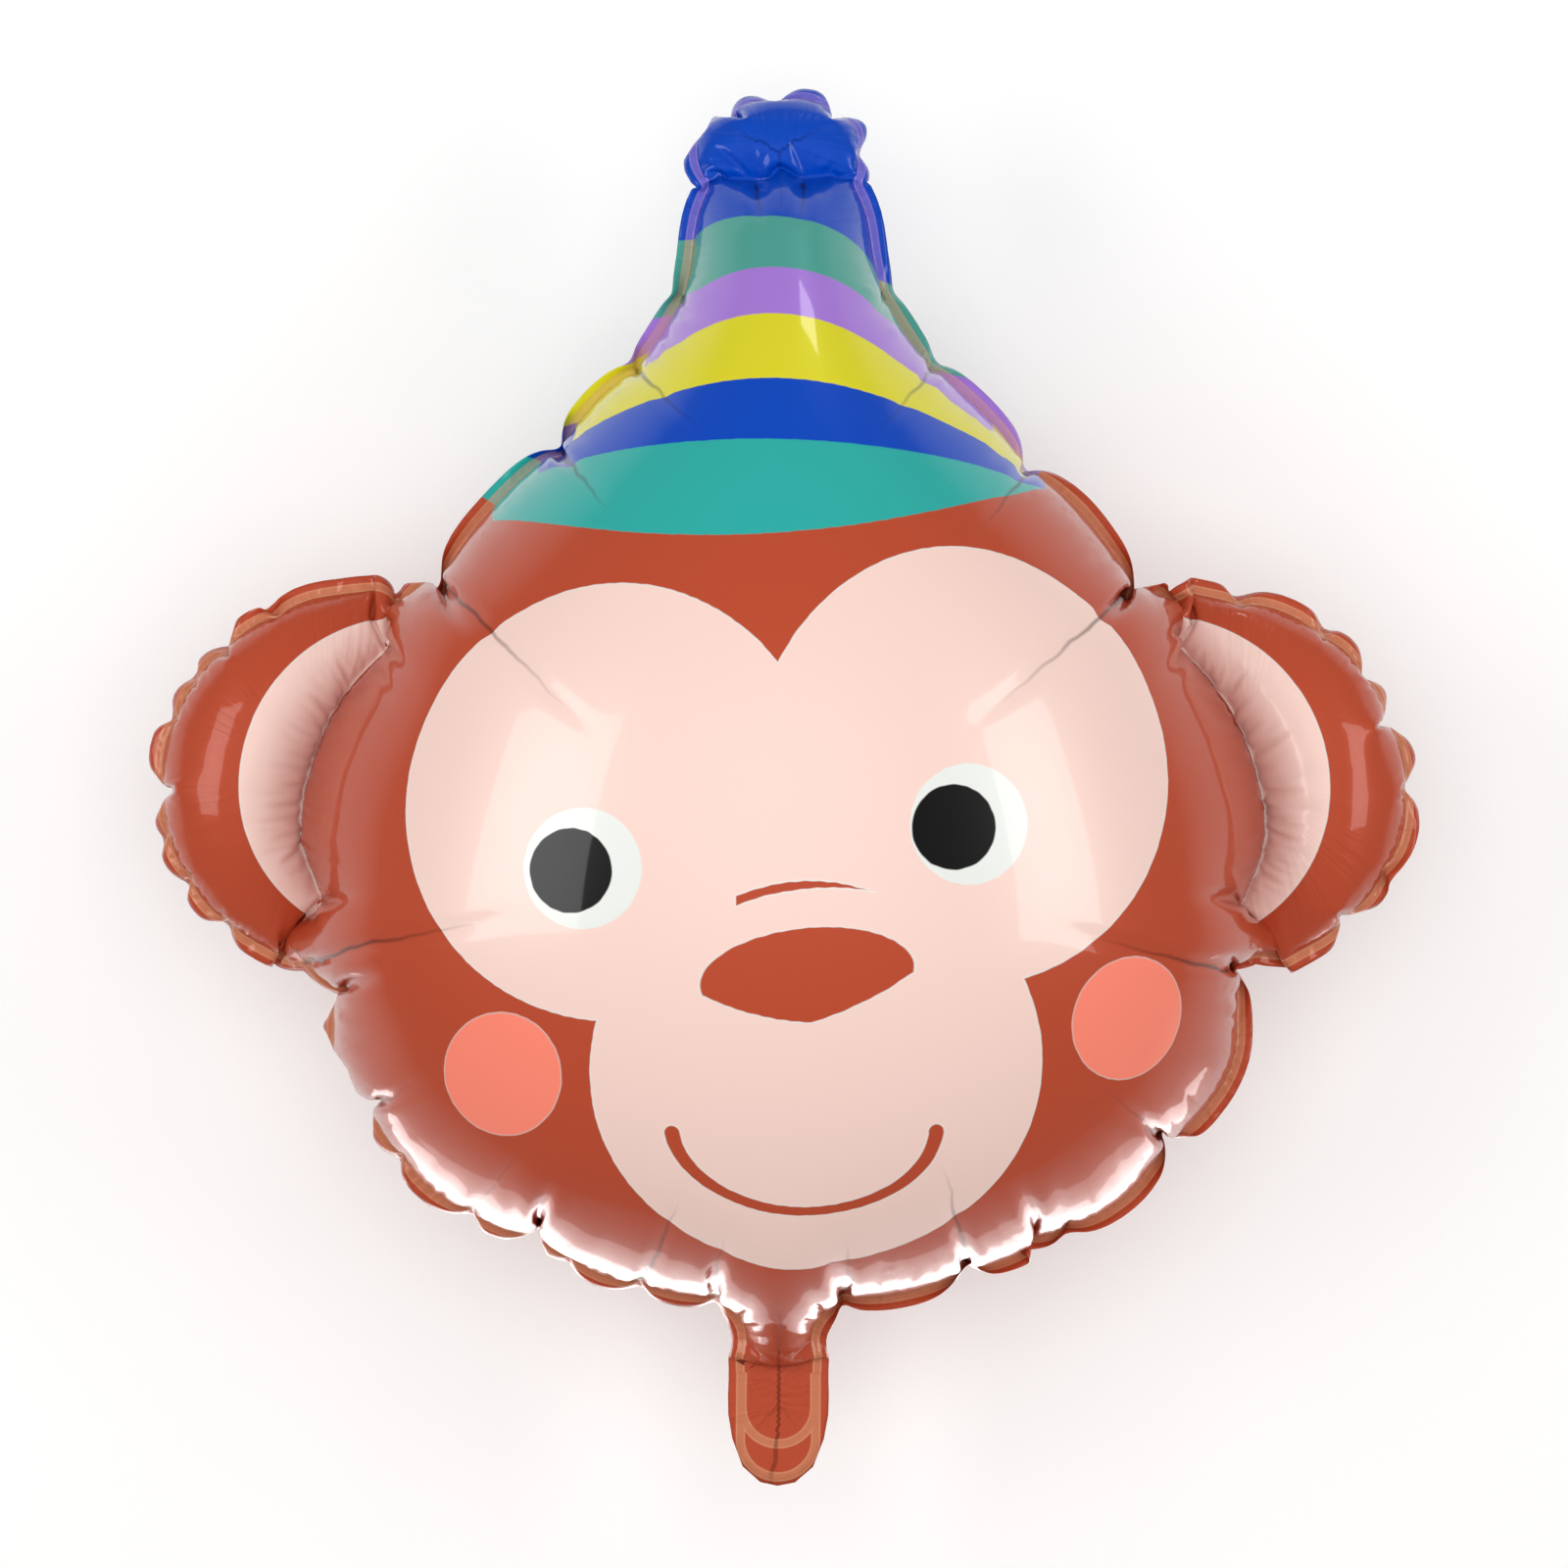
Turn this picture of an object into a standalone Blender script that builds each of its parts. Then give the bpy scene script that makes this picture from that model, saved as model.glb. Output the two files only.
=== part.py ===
"""A foil party balloon shaped as a monkey's head in a pointed hat, filled and lying on its back.

Two printed foil sheets are heat-sealed face to face round a narrow flange, with a weld between each
ear and the head, one under the hat's pom-pom, and a flat tail with the filling channel below the chin.
The balloon is sealed and full of gas, so each sheet is modelled with its half of the gas as one solid,
flat at the seam between the two. The outline is puckered where the filled foil draws in at the seam.

X runs across the face, +Y towards the hat, +Z out of the face. The origin is on the floor under the
middle of the outline. All lengths are in metres.
"""

import math

import bmesh
import bpy
import numpy as np
from mathutils import Vector
from mathutils.geometry import delaunay_2d_cdt

# Head, measured from the middle of the outline's height
HEAD_WIDTH = 0.367
CHIN_DROP = 0.206
TEMPLE_RISE = 0.075
# Ears: how far each stands out from the head, and its upper and lower ends
EAR_REACH = 0.0725
EAR_TOP = 0.076
EAR_BOTTOM = -0.074
# Hat and pom-pom
HAT_NECK_WIDTH = 0.081
HAT_RISE = 0.240
POMPOM_WIDTH = 0.080
POMPOM_HEIGHT = 0.048
# Filling tail
TAIL_WIDTH = 0.041
TAIL_LENGTH = 0.0816
TAIL_WELD = 0.007
CHANNEL_LENGTH = 0.034
# Foil: one ply of the flange, the flange that shows beside the puffs, and the gap between the sheets
PLY = 0.0007
FLANGE = 0.0022
SHEET_GAP = 0.0003
# Puckers at the seam
PINCH_DEPTH = 0.0045
CREASE_DEPTH = 0.24
CREASE_WIDTH = 0.0055
SHORT_CREASE = 0.016
LONG_CREASE = 0.040
PINCHES_PER_LONG_CREASE = 3
# Inner welds
WELD_WIDTH = 0.0034
POMPOM_WELD_GAP = 0.023
# How full the gas makes a wide stretch and a narrow one, as a share of a full round section
HEAD_FULLNESS = 0.665
NARROW_FULLNESS = 0.70
# How far the lowest point of the back is pressed flat by what it lies on
FLAT_SPOT_SINK = 0.0025
# Mesh spacing along the seam, just inside it, and over the middle
SEAM_STEP = 0.0052
BAND_ROWS = ((0.0022, 0.0075), (0.0075, 0.0105))
FIELD_STEP = 0.0122
# The print's plain colours, as linear red, green and blue
FRONT_BROWN = (0.48, 0.09, 0.04)
BACK_BROWN = (0.42, 0.08, 0.035)


def smooth_curve(points, samples=24):
    """A curve through the points, rounder where they lie further apart (centripetal Catmull-Rom)."""
    points = [Vector(p) for p in points]
    ends = [2 * points[0] - points[1], *points, 2 * points[-1] - points[-2]]
    curve = []
    for p0, p1, p2, p3 in zip(ends, ends[1:], ends[2:], ends[3:]):
        t1 = math.sqrt((p1 - p0).length)
        t2 = t1 + math.sqrt((p2 - p1).length)
        t3 = t2 + math.sqrt((p3 - p2).length)
        for t in np.linspace(t1, t2, samples, endpoint=False):
            a1 = p0.lerp(p1, t / t1)
            a2 = p1.lerp(p2, (t - t1) / (t2 - t1))
            a3 = p2.lerp(p3, (t - t2) / (t3 - t2))
            b1 = a1.lerp(a2, t / t2)
            b2 = a2.lerp(a3, (t - t1) / (t3 - t1))
            curve.append(b1.lerp(b2, (t - t1) / (t2 - t1)))
    curve.append(points[-1])
    return np.array([tuple(p) for p in curve])


def along(curve, shares):
    """Points at the given shares of an open curve's length."""
    steps = np.linalg.norm(np.diff(curve, axis=0), axis=1)
    travelled = np.concatenate([[0], np.cumsum(steps)])
    return np.stack([np.interp(shares * travelled[-1], travelled, curve[:, k]) for k in (0, 1)], 1)


def respaced(loop, step):
    """A closed loop with points about one step apart."""
    closed = np.vstack([loop, loop[:1]])
    length = np.linalg.norm(np.diff(closed, axis=0), axis=1).sum()
    count = max(8, round(length / step))
    return along(closed, np.arange(count) / count)


def outward(loop):
    """The outward direction at each point of a counter-clockwise loop."""
    run = np.roll(loop, -1, 0) - np.roll(loop, 1, 0)
    run /= np.linalg.norm(run, axis=1)[:, None]
    return np.stack([run[:, 1], -run[:, 0]], 1)


def inside(points, loop):
    """Which points lie inside a closed loop."""
    found = np.zeros(len(points), bool)
    for (x0, y0), (x1, y1) in zip(loop, np.roll(loop, -1, 0)):
        crosses = (y0 > points[:, 1]) != (y1 > points[:, 1])
        if crosses.any():
            found ^= crosses & (points[:, 0] < (x1 - x0) * (points[:, 1] - y0) / (y1 - y0) + x0)
    return found


def clearance(points, loops):
    """The distance from each point to the nearest of the closed loops."""
    nearest = np.full(len(points), np.inf)
    for loop in loops:
        for start, end in zip(loop, np.roll(loop, -1, 0)):
            side = end - start
            share = np.clip((points - start) @ side / (side @ side), 0, 1)
            gap = np.linalg.norm(points - start - share[:, None] * side, axis=1)
            nearest = np.minimum(nearest, gap)
    return nearest


def right_half():
    """The outline's right half from the tail's end to the pom-pom's top, as (curve, puffs) stretches.

    A stretch with no puffs is welded flat beside the gas and has no puckers.
    """
    side = HEAD_WIDTH / 2
    tail = TAIL_WIDTH / 2
    tail_end = -CHIN_DROP - TAIL_LENGTH
    hat = HAT_NECK_WIDTH / 2
    temple = 0.81 * side
    neck_y = -CHIN_DROP - 0.3 * TAIL_LENGTH
    chin_x = tail + 0.21 * (side - tail)
    turns = np.linspace(0, math.pi / 2, 7)
    tail_tip = [(tail * math.sin(a), tail_end + tail * (1 - math.cos(a))) for a in turns]
    tail_side = [tail_tip[-1], (tail, tail_end + 0.45 * TAIL_LENGTH), (tail, neck_y)]
    under_chin = [
        (tail, neck_y),
        (tail + 0.21 * (chin_x - tail), -1.045 * CHIN_DROP),
        (chin_x, -0.985 * CHIN_DROP),
    ]
    jaw = [
        (chin_x, -0.985 * CHIN_DROP),
        (0.60 * side, -0.88 * CHIN_DROP),
        (0.863 * side, -0.70 * CHIN_DROP),
        (0.985 * side, -0.51 * CHIN_DROP),
        (1.005 * side, 0.90 * EAR_BOTTOM),
    ]
    ear_middle = (EAR_TOP + EAR_BOTTOM) / 2
    ear_half = (EAR_TOP - EAR_BOTTOM) / 2
    ear = [
        (1.005 * side, 0.90 * EAR_BOTTOM),
        (side + 0.20 * EAR_REACH, EAR_BOTTOM),
        (side + 0.64 * EAR_REACH, ear_middle - 0.84 * ear_half),
        (side + 0.95 * EAR_REACH, ear_middle - 0.38 * ear_half),
        (side + EAR_REACH, ear_middle + 0.06 * ear_half),
        (side + 0.85 * EAR_REACH, ear_middle + 0.50 * ear_half),
        (side + 0.45 * EAR_REACH, ear_middle + 0.86 * ear_half),
        (side, EAR_TOP),
        (side - 0.26 * EAR_REACH, 1.02 * EAR_TOP),
        (temple, TEMPLE_RISE),
    ]
    rise = HAT_RISE - TEMPLE_RISE
    flare = temple - hat
    hat_side = [
        (temple, TEMPLE_RISE),
        (hat + 0.90 * flare, TEMPLE_RISE + 0.06 * rise),
        (hat + 0.77 * flare, TEMPLE_RISE + 0.21 * rise),
        (hat + 0.50 * flare, TEMPLE_RISE + 0.35 * rise),
        (hat + 0.21 * flare, TEMPLE_RISE + 0.58 * rise),
        (hat + 0.04 * flare, TEMPLE_RISE + 0.77 * rise),
        (0.94 * hat, HAT_RISE),
    ]
    pompom = POMPOM_WIDTH / 2
    pompom_side = [
        (0.94 * hat, HAT_RISE),
        (pompom, HAT_RISE + 0.36 * POMPOM_HEIGHT),
        (0.88 * pompom, HAT_RISE + 0.74 * POMPOM_HEIGHT),
        (0.50 * pompom, HAT_RISE + 0.95 * POMPOM_HEIGHT),
        (0, HAT_RISE + POMPOM_HEIGHT),
    ]
    return [
        (smooth_curve(tail_tip), 0),
        (smooth_curve(tail_side), 0),
        (smooth_curve(under_chin), 1),
        (smooth_curve(jaw), 9),
        (smooth_curve(ear), 11),
        (smooth_curve(hat_side), 5),
        (smooth_curve(pompom_side), 3),
    ]


def outlines():
    """The flange's outer edge, the seam beside the gas, and the seam's pinches with their directions."""
    edge, draw_in, pinch = [], [], []
    for curve, puffs in right_half():
        length = np.linalg.norm(np.diff(curve, axis=0), axis=1).sum()
        steps = max(puffs, 1) * max(4, round(length / max(puffs, 1) / SEAM_STEP))
        shares = np.arange(steps) / steps
        phase = (shares * puffs) % 1
        edge.append(along(curve, shares))
        scallop = FLANGE + PINCH_DEPTH * (2 * phase - 1) ** 2
        draw_in.append(scallop if puffs else np.full(steps, TAIL_WELD))
        pinch.append((phase < 0.5 / steps) & (puffs > 0))
    top = right_half()[-1][0][-1:]
    edge = np.vstack([*edge, top])
    inset = np.concatenate([*draw_in, [FLANGE + PINCH_DEPTH]])
    pinched = np.concatenate([*pinch, [True]])
    edge = np.vstack([edge, edge[-2:0:-1] * (-1, 1)])
    inset = np.concatenate([inset, inset[-2:0:-1]])
    pinched = np.concatenate([pinched, pinched[-2:0:-1]])
    out = outward(edge)
    seam = edge - out * inset[:, None]
    return edge, seam, seam[pinched], -out[pinched]


def weld_loop(points):
    """The outline of a weld of even width along a curve, counter-clockwise."""
    curve = smooth_curve(points)
    length = np.linalg.norm(np.diff(curve, axis=0), axis=1).sum()
    count = max(3, round(length / (1.3 * SEAM_STEP)) + 1)
    line = along(curve, np.linspace(0, 1, count))
    run = np.gradient(line, axis=0)
    run /= np.linalg.norm(run, axis=1)[:, None]
    side = np.stack([run[:, 1], -run[:, 0]], 1) * WELD_WIDTH / 2
    tip = run[-1:] * WELD_WIDTH / 2
    heel = run[:1] * WELD_WIDTH / 2
    return np.vstack([line + side, line[-1:] + tip, (line - side)[::-1], line[:1] - heel])


def welds():
    """The inner welds: one between each ear and the head, and two short ones under the pom-pom."""
    side = HEAD_WIDTH / 2
    ear_weld = [
        (side - 0.21 * EAR_REACH, 0.76 * EAR_TOP),
        (side + 0.02 * EAR_REACH, 0.22 * EAR_TOP),
        (side + 0.11 * EAR_REACH, 0.33 * EAR_BOTTOM),
        (side + 0.07 * EAR_REACH, 0.76 * EAR_BOTTOM),
    ]
    hat = HAT_NECK_WIDTH / 2
    pompom_weld = [
        (POMPOM_WELD_GAP / 2, HAT_RISE),
        (0.74 * hat, HAT_RISE),
    ]
    loops = []
    for points in (ear_weld, pompom_weld):
        loop = weld_loop(points)
        loops += [loop, (loop * (-1, 1))[::-1]]
    return loops


def field_points(edge, seam, weld_loops):
    """Points inside the seam: rows that follow it and the welds, then an even field of triangles."""
    rims = [seam, *weld_loops]
    kept = np.empty((0, 2))
    for distance, spacing in BAND_ROWS:
        rows = [respaced(seam - distance * outward(seam), spacing)]
        rows += [respaced(loop + distance * outward(loop), spacing) for loop in weld_loops]
        row = np.vstack(rows)
        for point in row[clearance(row, rims) > 0.85 * distance]:
            if len(kept) == 0 or np.linalg.norm(kept - point, axis=1).min() > 0.55 * spacing:
                kept = np.vstack([kept, point])
    low, high = edge.min(0), edge.max(0)
    row_height = FIELD_STEP * math.sqrt(3) / 2
    half_rows = math.ceil((high[1] - low[1]) / row_height / 2)
    half_columns = math.ceil((high[0] - low[0]) / FIELD_STEP / 2) + 1
    field = [
        ((column + 0.5 * (row % 2)) * FIELD_STEP, row * row_height)
        for row in range(-half_rows, half_rows + 1)
        for column in range(-half_columns, half_columns + 1)
    ]
    field = np.array(field)
    nearest = BAND_ROWS[-1][0] + 0.45 * FIELD_STEP
    field = field[clearance(field, rims) > nearest]
    points = np.vstack([kept, field])
    points = points[inside(points, seam)]
    for loop in weld_loops:
        points = points[~inside(points, loop)]
    return points


def triangulated(edge, seam, weld_loops):
    """The flat triangles of one sheet, with the flange's edge as its first points."""
    rims = [edge, seam, *weld_loops]
    borders, start = [], 0
    for loop in rims:
        borders += [(start + i, start + (i + 1) % len(loop)) for i in range(len(loop))]
        start += len(loop)
    points = np.vstack([*rims, field_points(edge, seam, weld_loops)])
    result = delaunay_2d_cdt([Vector(p) for p in points], borders, [], 0, 1e-7)
    flat, triangles = np.array([tuple(v) for v in result[0]]), np.array(result[2])
    corners = flat[triangles]
    triangles = triangles[inside(corners.mean(1), edge)]
    corners = flat[triangles]
    first, second = corners[:, 1] - corners[:, 0], corners[:, 2] - corners[:, 0]
    turned = first[:, 0] * second[:, 1] < first[:, 1] * second[:, 0]
    triangles[turned] = triangles[turned][:, ::-1]
    return flat, triangles


def pillow(flat, triangles, held):
    """The membrane that even pressure lifts over the flat triangles, with the held points at zero.

    It solves Laplace(u) = -1 with linear triangles; a round pillow of radius r has 2 sqrt(u) = r there.
    """
    stiffness = np.zeros((len(flat), len(flat)))
    load = np.zeros(len(flat))
    corners = flat[triangles]
    opposite = np.roll(corners, -2, 1) - np.roll(corners, -1, 1)
    double_area = np.abs(opposite[:, 0, 0] * opposite[:, 1, 1] - opposite[:, 0, 1] * opposite[:, 1, 0])
    for i in range(3):
        np.add.at(load, triangles[:, i], double_area / 6)
        for j in range(3):
            weight = (opposite[:, i] * opposite[:, j]).sum(1) / (2 * double_area)
            np.add.at(stiffness, (triangles[:, i], triangles[:, j]), weight)
    free = np.nonzero(~held)[0]
    lift = np.zeros(len(flat))
    lift[free] = np.linalg.solve(stiffness[np.ix_(free, free)], load[free])
    return np.maximum(lift, 0)


def puckered(flat, height, pinches, inwards):
    """The heights with a fading valley from each pinch inwards."""
    factor = np.ones(len(flat))
    for number, (pinch, inward) in enumerate(zip(pinches, inwards)):
        reach = LONG_CREASE if number % PINCHES_PER_LONG_CREASE == 0 else SHORT_CREASE
        away = flat - pinch
        deep = away @ inward
        across = away @ (-inward[1], inward[0])
        valley = np.exp(-((across / CREASE_WIDTH) ** 2)) * np.exp(-np.maximum(deep, 0) / reach)
        factor *= 1 - CREASE_DEPTH * valley * (deep > -CREASE_WIDTH)
    return height * factor


def puffed_sheet():
    """One sheet: its points seen from above, triangles, depths from the seam, and number of edge points."""
    edge, seam, pinches, inwards = outlines()
    weld_loops = welds()
    flat, triangles = triangulated(edge, seam, weld_loops)
    rims = [seam, *weld_loops]
    held = clearance(flat, rims) < 1e-6
    held |= ~inside(flat, seam)
    held |= flat[:, 1] < -CHIN_DROP - CHANNEL_LENGTH
    round_height = 2 * np.sqrt(pillow(flat, triangles, held))
    wide = np.clip(round_height / round_height.max(), 0, 1)
    fullness = NARROW_FULLNESS + (HEAD_FULLNESS - NARROW_FULLNESS) * wide
    height = puckered(flat, round_height * fullness, pinches, inwards)
    flat -= (flat.max(0) + flat.min(0)) / 2
    return flat, triangles, SHEET_GAP / 2 + PLY + height, len(edge)


def foil_material(name, colour):
    """Printed foil: a metallised film under a coloured print."""
    material = bpy.data.materials.new(name)
    material.use_nodes = True
    shader = material.node_tree.nodes["Principled BSDF"]
    shader.inputs["Base Color"].default_value = (*colour, 1)
    shader.inputs["Metallic"].default_value = 0.6
    shader.inputs["Roughness"].default_value = 0.3
    return material


def sheet_solid(name, sheet, faces_up, flat_spot, colour):
    """One sheet with its half of the gas: the puffed side, a rim one ply thick, and the flat seam side.

    The sheet that faces down is pressed flat where it reaches the floor, and both lie at that height.
    """
    flat, triangles, puffed, edge_count = sheet
    turn = 1 if faces_up else -1
    depth = puffed if faces_up else np.minimum(puffed, flat_spot)
    mesh = bmesh.new()
    outer = [mesh.verts.new((x, y, turn * z)) for (x, y), z in zip(flat, depth)]
    inner = [mesh.verts.new((x, y, turn * SHEET_GAP / 2)) for x, y in flat[:edge_count]]
    faces = [(outer[a], outer[b], outer[c]) for a, b, c in triangles]
    for i in range(edge_count):
        j = (i + 1) % edge_count
        faces.append((outer[i], inner[i], inner[j], outer[j]))
    faces.append(inner[::-1])
    for corners in faces:
        mesh.faces.new(corners[::turn])
    data = bpy.data.meshes.new(name)
    mesh.to_mesh(data)
    mesh.free()
    data.shade_smooth()
    data.set_sharp_from_angle(angle=math.radians(50))
    data.materials.append(foil_material(name + "_print", colour))
    solid = bpy.data.objects.new(name, data)
    solid.location.z = flat_spot
    bpy.context.scene.collection.objects.link(solid)
    return solid


for leftover in list(bpy.data.objects):
    bpy.data.objects.remove(leftover)

sheet = puffed_sheet()
flat_spot = sheet[2].max() - FLAT_SPOT_SINK
sheet_solid("front_foil", sheet, True, flat_spot, FRONT_BROWN)
sheet_solid("back_foil", sheet, False, flat_spot, BACK_BROWN)
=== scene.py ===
"""A monkey's head in a striped party hat: a foil balloon, filled and lying on its back."""
import math

import bpy
import numpy as np
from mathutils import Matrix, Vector
from mathutils.bvhtree import BVHTree
from mathutils.geometry import delaunay_2d_cdt


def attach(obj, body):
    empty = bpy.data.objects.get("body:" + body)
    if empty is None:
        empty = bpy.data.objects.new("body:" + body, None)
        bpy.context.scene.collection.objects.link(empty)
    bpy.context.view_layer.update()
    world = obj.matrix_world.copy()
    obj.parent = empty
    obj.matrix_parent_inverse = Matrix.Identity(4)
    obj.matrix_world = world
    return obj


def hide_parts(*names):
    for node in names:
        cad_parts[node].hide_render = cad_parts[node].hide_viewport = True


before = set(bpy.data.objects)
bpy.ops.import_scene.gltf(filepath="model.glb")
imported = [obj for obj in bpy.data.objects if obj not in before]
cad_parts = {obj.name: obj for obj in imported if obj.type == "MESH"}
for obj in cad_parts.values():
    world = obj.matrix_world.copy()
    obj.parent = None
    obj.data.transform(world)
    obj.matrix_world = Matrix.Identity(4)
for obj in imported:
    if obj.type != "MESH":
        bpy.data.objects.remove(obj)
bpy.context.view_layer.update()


# The foil blank. Two sheets of thin metallised film are laid face to face, heat-welded along the
# outline and cut off outside the weld, which leaves a flat flange. Each ear and the pom-pom are set
# off from the head by a weld of their own, and the filling tail hangs under the chin.
MM = 0.001
FLANGE_WIDTH = 6.5 * MM
TAIL_FLANGE = 19 * MM
TAIL_END_BELOW = -296 * MM
GAS_ENDS_AT = -279 * MM

# right half of the weld line on the flat blank, in mm, from the tail's end up to the top
TAIL_LINE = [(0, -312), (9, -310), (13.5, -302), (14, -283), (16, -272), (22.5, -264.5), (36.8, -258.5)]
JAW_LINE = [
    (36.8, -258.5), (59.8, -252.8), (91.5, -243.2), (132.3, -224.3), (166.9, -200), (197.6, -167.6),
    (217.3, -134.9), (227.5, -103.4), (236.4, -81.6),
]
EAR_LINE = [
    (236.4, -81.6), (252, -70.5), (282.6, -55.3), (305.5, -27.2), (313.4, 7.2), (306, 41.3), (286, 69),
    (253.3, 87.4), (219.2, 92.2), (199.8, 93.4),
]
HAT_LINE = [
    (199.8, 93.4), (175.2, 119.2), (145.2, 150.6), (104.7, 188), (74.2, 214.4), (55.2, 236), (41.5, 254.6),
    (32, 265),
]
POMPOM_LINE = [(32, 265), (36.2, 280.7), (35.2, 293.4), (28.2, 303), (13.4, 311), (0, 312)]
EAR_CREASE = [(207, 72), (222, 40), (232, 8), (236, -20), (234, -51)]
POMPOM_CREASE = [(11, 267), (26, 268)]
# each stretch of the outline: where its puckers are on the right side and on the left one, as shares
# of its length, and how hard they are drawn in
STRETCHES = [
    (TAIL_LINE, (0,), (0,), 0),
    (JAW_LINE, (0, 0.205, 0.41, 0.636, 0.955), (0, 0.12, 0.23, 0.32, 0.455, 0.59, 0.7, 0.78, 0.91), 1.5),
    (
        EAR_LINE, (0, 0.2, 0.295, 0.43, 0.545, 0.636, 0.727, 0.864),
        (0, 0.18, 0.27, 0.34, 0.42, 0.545, 0.61, 0.69, 0.78), 1.3,
    ),
    (HAT_LINE, (0, 0.09, 0.4, 0.65, 0.8), (0, 0.125, 0.45, 0.65, 0.8), 1.5),
    (POMPOM_LINE, (0, 0.27, 0.62), (0, 0.42, 0.66), 1.0),
]


def rounded(points, samples=16):
    """A smooth curve through points in mm, in metres."""
    points = [Vector(p) for p in points]
    ends = [2 * points[0] - points[1], *points, 2 * points[-1] - points[-2]]
    curve = []
    for p0, p1, p2, p3 in zip(ends, ends[1:], ends[2:], ends[3:]):
        t1 = math.sqrt((p1 - p0).length)
        t2 = t1 + math.sqrt((p2 - p1).length)
        t3 = t2 + math.sqrt((p3 - p2).length)
        for t in np.linspace(t1, t2, samples, endpoint=False):
            a1 = p0.lerp(p1, t / t1)
            a2 = p1.lerp(p2, (t - t1) / (t2 - t1))
            a3 = p2.lerp(p3, (t - t2) / (t3 - t2))
            b1 = a1.lerp(a2, t / t2)
            b2 = a2.lerp(a3, (t - t1) / (t3 - t1))
            curve.append(b1.lerp(b2, (t - t1) / (t2 - t1)))
    curve.append(points[-1])
    return np.array([tuple(p) for p in curve]) * MM


def along(curve, shares):
    """Points at these shares of the curve's length, and the length."""
    steps = np.linalg.norm(np.diff(curve, axis=0), axis=1)
    travelled = np.concatenate([[0], np.cumsum(steps)])
    places = [np.interp(shares * travelled[-1], travelled, curve[:, k]) for k in (0, 1)]
    return np.stack(places, 1), travelled[-1]


def inside(points, loop):
    """Which points lie inside a closed loop."""
    found = np.zeros(len(points), bool)
    for (x0, y0), (x1, y1) in zip(loop, np.roll(loop, -1, 0)):
        crosses = (y0 > points[:, 1]) != (y1 > points[:, 1])
        if crosses.any():
            found ^= crosses & (points[:, 0] < (x1 - x0) * (points[:, 1] - y0) / (y1 - y0) + x0)
    return found


def clearance(points, line, closed=False):
    """Each point's distance from a line, and how far along the line that is."""
    nearest, where, travelled = np.full(len(points), np.inf), np.zeros(len(points)), 0.0
    for start, end in zip(line, np.roll(line, -1, 0) if closed else line[1:]):
        side = end - start
        share = np.clip((points - start) @ side / (side @ side), 0, 1)
        gap = np.linalg.norm(points - start - share[:, None] * side, axis=1)
        length = np.linalg.norm(side)
        where = np.where(gap < nearest, travelled + share * length, where)
        nearest = np.minimum(nearest, gap)
        travelled += length
    return nearest, where


# how hard the film between two puckers is pulled out, as a share, and how wide a pucker is
PUFF_OUT = 0.45
PUCKER_WIDTH = 4.5 * MM


def weld_side(side, step):
    """One side's weld from the tail to the top, and how hard each point is pulled out."""
    line, pull = [], []
    for points, right, left, hard in STRETCHES:
        curve = rounded(points)
        length = along(curve, np.zeros(1))[1]
        puckers = (*(right, left)[side], 1)
        for start, end in zip(puckers, puckers[1:]):
            count = max(1, round((end - start) * length / step))
            share = start + (end - start) * np.arange(count) / count
            gap = np.minimum(share - start, end - share) * length
            line.append(along(curve, share)[0])
            pull.append(hard * (PUFF_OUT - (1 + PUFF_OUT) * np.exp(-(gap / PUCKER_WIDTH) ** 2)))
    return np.vstack([*line, curve[-1:]]), np.concatenate([*pull, [-hard]])


def weld_loop(step):
    """The whole weld, anticlockwise from the tail's end, and how hard each point is pulled out."""
    right, right_pull = weld_side(0, step)
    left, left_pull = weld_side(1, step)
    return np.vstack([right, left[-2:0:-1] * (-1, 1)]), np.concatenate([right_pull, left_pull[-2:0:-1]])


def creases(step):
    """The inner welds of both ears and the pom-pom."""
    lines = []
    for points in (EAR_CREASE, POMPOM_CREASE):
        curve = rounded(points)
        count = max(2, round(along(curve, np.zeros(1))[1] / step) + 1)
        line = along(curve, np.linspace(0, 1, count))[0]
        lines += [line, line * (-1, 1)]
    return lines


def from_welds(points, weld, lines):
    """How far each point is from the nearest weld, the outline or an inner one."""
    return np.min([clearance(points, weld, True)[0]] + [clearance(points, line)[0] for line in lines], axis=0)


ROW_HEIGHT = 0.866


def grid(low, high, step):
    """Points this far apart in rows, each half a step over, so that they make even triangles."""
    rows = int((high[1] - low[1]) / (step * ROW_HEIGHT)) + 2
    row, column = np.mgrid[0:rows, 0:int((high[0] - low[0]) / step) + 2]
    x, y = low[0] + (column + 0.5 * (row % 2)) * step, low[1] + row * step * ROW_HEIGHT
    return np.stack([x, y], -1).reshape(-1, 2)


# points nearer than this are one, and how far, in steps, a point stays clear of the welds and of
# the band of near points
SAME_PLACE = 1e-6
CLEAR_OF_WELD, CLEAR_OF_BAND = 0.6, 0.3


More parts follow.
